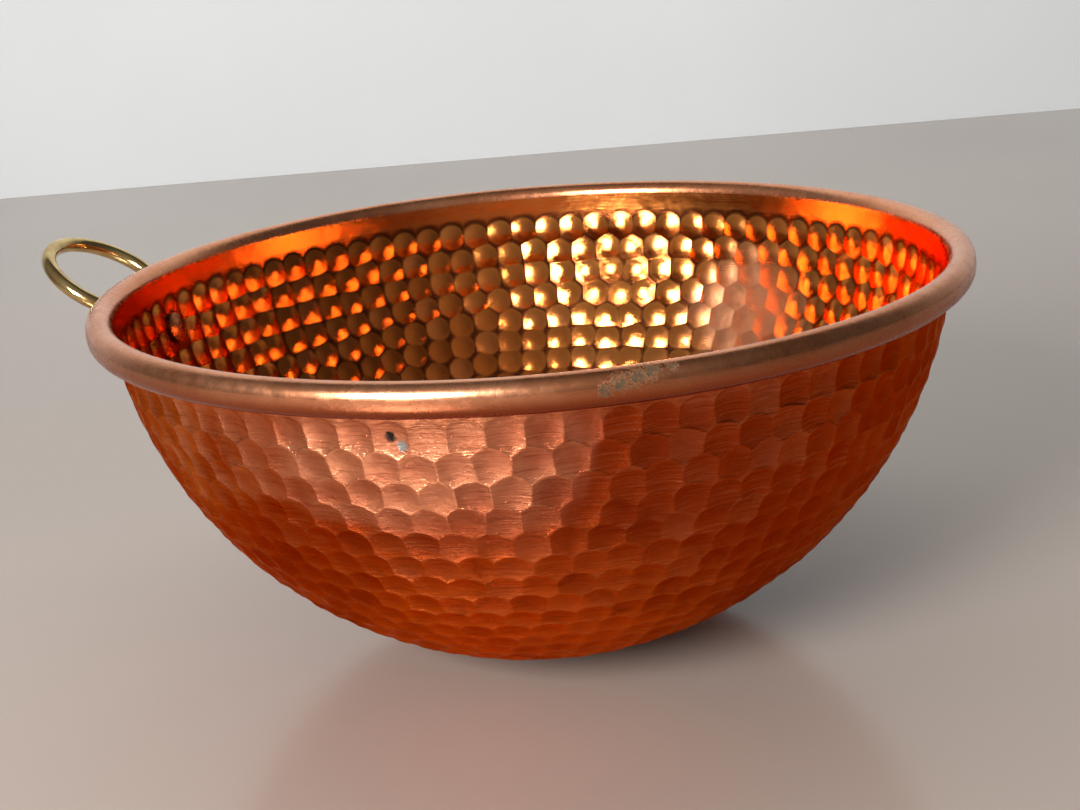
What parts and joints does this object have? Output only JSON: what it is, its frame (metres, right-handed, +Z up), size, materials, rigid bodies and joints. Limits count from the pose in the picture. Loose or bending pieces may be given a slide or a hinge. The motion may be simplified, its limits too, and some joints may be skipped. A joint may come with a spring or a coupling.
{
  "type": "copper beating bowl",
  "caption": "Hammered round-bottomed copper bowl with a rolled, wired rim and a fixed brass ring handle for holding or hanging it.",
  "frame": {"origin": "middle of the small flat that the bowl rests on, on the bowl's own axis", "axes": "+Z up along the bowl's axis, -X towards the ring handle, +Y across the handle"},
  "size_m": [0.2901, 0.26, 0.1274],
  "materials": {
    "copper_sheet": "hammered and polished copper",
    "steel_wire": "drawn wire, sealed inside the rim",
    "cast_brass": "polished",
    "copper_rivet": "darkened copper"
  },
  "bodies": {
    "root": {"bowl_shell": "copper_sheet", "rim_wire": "steel_wire", "ring_handle": "cast_brass", "handle_rivet": "copper_rivet"}
  },
  "joints": []
}
